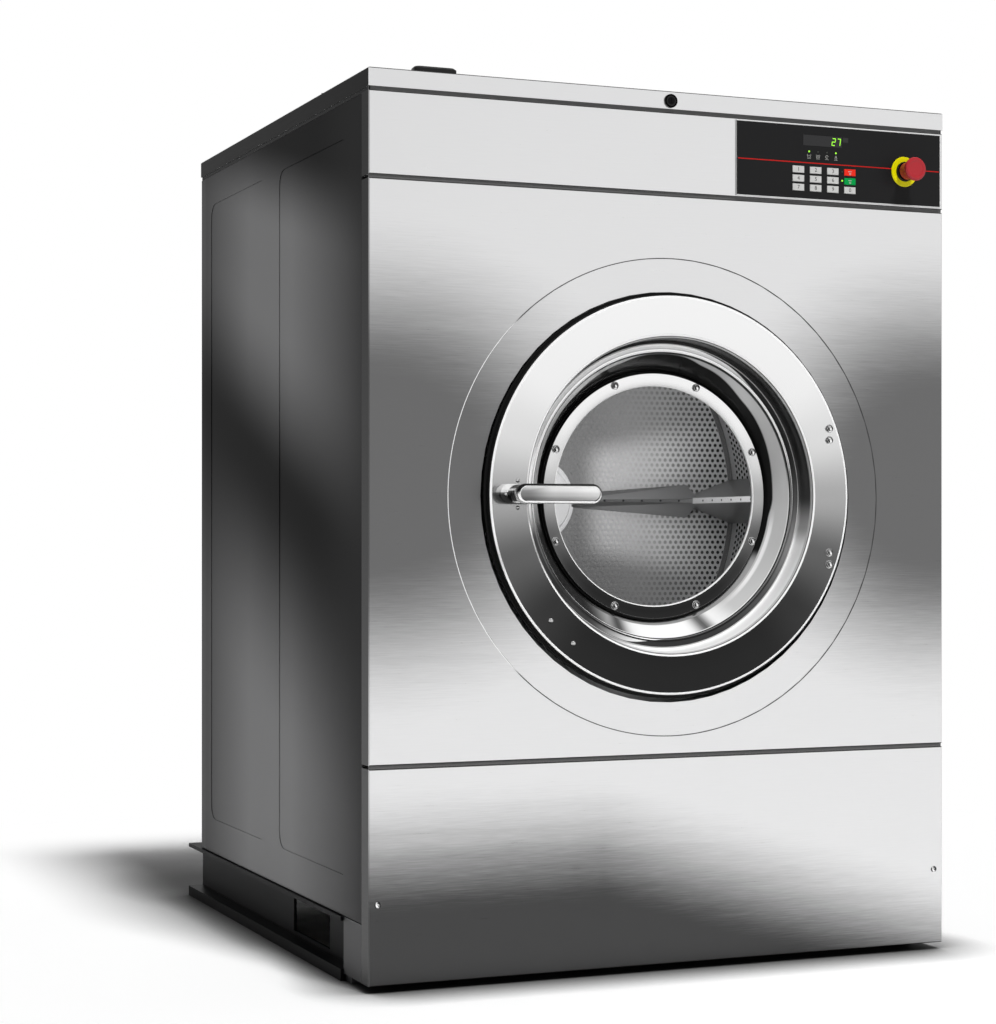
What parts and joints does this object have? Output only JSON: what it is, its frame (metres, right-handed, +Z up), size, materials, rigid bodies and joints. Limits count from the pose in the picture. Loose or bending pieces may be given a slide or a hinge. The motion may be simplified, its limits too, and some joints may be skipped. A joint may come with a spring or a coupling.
{
  "type": "hard mount washer extractor",
  "caption": "Front loading industrial washer extractor with hinged round glass door, keypad, emergency stop, spinning belt driven drum, opening top cover and channel base.",
  "frame": {"origin": "centre of the bounding box seen from above, on the floor under the rails", "axes": "+Z up, the door faces -Y, +X is to the right of a user who stands before the door"},
  "size_m": [1.052, 1.148, 1.4488],
  "materials": {
    "steel": "brushed",
    "chrome": "polished",
    "drum_steel": "satin",
    "grey_enamel": "satin",
    "black_enamel": "satin",
    "overlay": "gloss",
    "black_plastic": "matt",
    "key_grey": "matt",
    "key_red": "matt",
    "key_green": "matt",
    "yellow": "matt",
    "red": "semi-gloss",
    "rubber": "matt",
    "glass": "clear",
    "iron": "painted",
    "motor_enamel": "satin",
    "galvanised": "dull"
  },
  "bodies": {
    "machine": {"rail_left": "black_enamel", "rail_right": "black_enamel", "base_front": "grey_enamel", "base_rear": "black_enamel", "side_panel_left": "grey_enamel", "side_panel_right": "grey_enamel", "front_panel": "steel", "lower_panel": "steel", "control_panel": "steel", "rear_panel": "galvanised", "control_overlay": "overlay", "display_window": "overlay", "estop_collar": "yellow", "tub_shell": "drum_steel", "tub_front": "drum_steel", "door_gasket": "rubber", "bearing_housing": "iron", "bearing_front": "steel", "bearing_rear": "steel", "a_frame": "black_enamel", "motor": "motor_enamel", "drive_belt": "rubber", "drain_valve": "black_plastic", "water_inlet": "black_plastic", "dispenser_box": "galvanised", "hinge_bracket": "black_enamel", "door_lock": "black_plastic"},
    "door": {"door_ring": "chrome", "door_glass": "glass", "glass_clamp": "chrome", "hinge_leaf": "chrome", "handle_base": "chrome"},
    "handle": {"door_handle": "chrome", "latch_cam": "black_enamel"},
    "drum": {"drum_shell": "drum_steel", "drum_back": "drum_steel", "drum_front": "drum_steel", "lifter_1": "drum_steel", "lifter_2": "drum_steel", "lifter_3": "drum_steel", "drum_shaft": "iron", "drum_pulley": "iron"},
    "drive_pulley": {"motor_pulley": "iron"},
    "stop_plunger": {"estop_plunger": "red"},
    "stop_head": {"estop_head": "red"},
    "cover": {"top_cover": "steel"},
    "cover_cam_lock": {"cover_lock": "black_plastic"},
    "soap_lid": {"dispenser_lid": "steel"},
    "button_1": {"key_1": "key_grey"},
    "button_2": {"key_2": "key_grey"},
    "button_3": {"key_3": "key_grey"},
    "button_stop": {"key_stop": "key_red"},
    "button_4": {"key_4": "key_grey"},
    "button_5": {"key_5": "key_grey"},
    "button_6": {"key_6": "key_grey"},
    "button_start": {"key_start": "key_green"},
    "button_7": {"key_7": "key_grey"},
    "button_8": {"key_8": "key_grey"},
    "button_9": {"key_9": "key_grey"},
    "button_0": {"key_0": "key_grey"}
  },
  "joints": [
    {"name": "door_hinge", "type": "hinge", "parent": "machine", "child": "door", "pos_m": [0.322, -0.501, 0.776], "axis": [0, 0, 1], "range_deg": [0, 140]},
    {"name": "handle_turn", "type": "hinge", "parent": "door", "child": "handle", "pos_m": [-0.289, -0.494, 0.776], "axis": [0, -1, 0], "range_deg": [0, 90]},
    {"name": "drum_spin", "type": "hinge", "parent": "machine", "child": "drum", "pos_m": [0, -0.494, 0.776], "axis": [0, 1, 0], "continuous": true},
    {"name": "motor_spin", "type": "hinge", "parent": "machine", "child": "drive_pulley", "pos_m": [0.27, -0.494, 0.265], "axis": [0, 1, 0], "continuous": true},
    {"name": "cover_hinge", "type": "hinge", "parent": "machine", "child": "cover", "pos_m": [0, 0.503, 1.41], "axis": [-1, 0, 0], "range_deg": [0, 60]},
    {"name": "lock_turn", "type": "hinge", "parent": "cover", "child": "cover_cam_lock", "pos_m": [0, -0.494, 1.42], "axis": [0, 1, 0], "range_deg": [0, 90]},
    {"name": "lid_hinge", "type": "hinge", "parent": "cover", "child": "soap_lid", "pos_m": [-0.401, -0.2365, 1.4385], "axis": [-1, 0, 0], "range_deg": [0, 100]},
    {"name": "stop_press", "type": "slide", "parent": "machine", "child": "stop_plunger", "axis": [0, 1, 0], "range_m": [0, 0.005], "stiffness_N_per_m": 1500},
    {"name": "stop_twist", "type": "hinge", "parent": "stop_plunger", "child": "stop_head", "pos_m": [0.4434, -0.494, 1.3307], "axis": [0, 1, 0], "range_deg": [0, 45], "stiffness_Nm_per_rad": 0.05},
    {"name": "press_1", "type": "slide", "parent": "machine", "child": "button_1", "axis": [0, 1, 0], "range_m": [0, 0.0006], "stiffness_N_per_m": 400},
    {"name": "press_2", "type": "slide", "parent": "machine", "child": "button_2", "axis": [0, 1, 0], "range_m": [0, 0.0006], "stiffness_N_per_m": 400},
    {"name": "press_3", "type": "slide", "parent": "machine", "child": "button_3", "axis": [0, 1, 0], "range_m": [0, 0.0006], "stiffness_N_per_m": 400},
    {"name": "press_stop", "type": "slide", "parent": "machine", "child": "button_stop", "axis": [0, 1, 0], "range_m": [0, 0.0006], "stiffness_N_per_m": 400},
    {"name": "press_4", "type": "slide", "parent": "machine", "child": "button_4", "axis": [0, 1, 0], "range_m": [0, 0.0006], "stiffness_N_per_m": 400},
    {"name": "press_5", "type": "slide", "parent": "machine", "child": "button_5", "axis": [0, 1, 0], "range_m": [0, 0.0006], "stiffness_N_per_m": 400},
    {"name": "press_6", "type": "slide", "parent": "machine", "child": "button_6", "axis": [0, 1, 0], "range_m": [0, 0.0006], "stiffness_N_per_m": 400},
    {"name": "press_start", "type": "slide", "parent": "machine", "child": "button_start", "axis": [0, 1, 0], "range_m": [0, 0.0006], "stiffness_N_per_m": 400},
    {"name": "press_7", "type": "slide", "parent": "machine", "child": "button_7", "axis": [0, 1, 0], "range_m": [0, 0.0006], "stiffness_N_per_m": 400},
    {"name": "press_8", "type": "slide", "parent": "machine", "child": "button_8", "axis": [0, 1, 0], "range_m": [0, 0.0006], "stiffness_N_per_m": 400},
    {"name": "press_9", "type": "slide", "parent": "machine", "child": "button_9", "axis": [0, 1, 0], "range_m": [0, 0.0006], "stiffness_N_per_m": 400},
    {"name": "press_0", "type": "slide", "parent": "machine", "child": "button_0", "axis": [0, 1, 0], "range_m": [0, 0.0006], "stiffness_N_per_m": 400}
  ],
  "couplings": [
    {"joint": "motor_spin", "follows": "drum_spin", "ratio": 4.59}
  ]
}
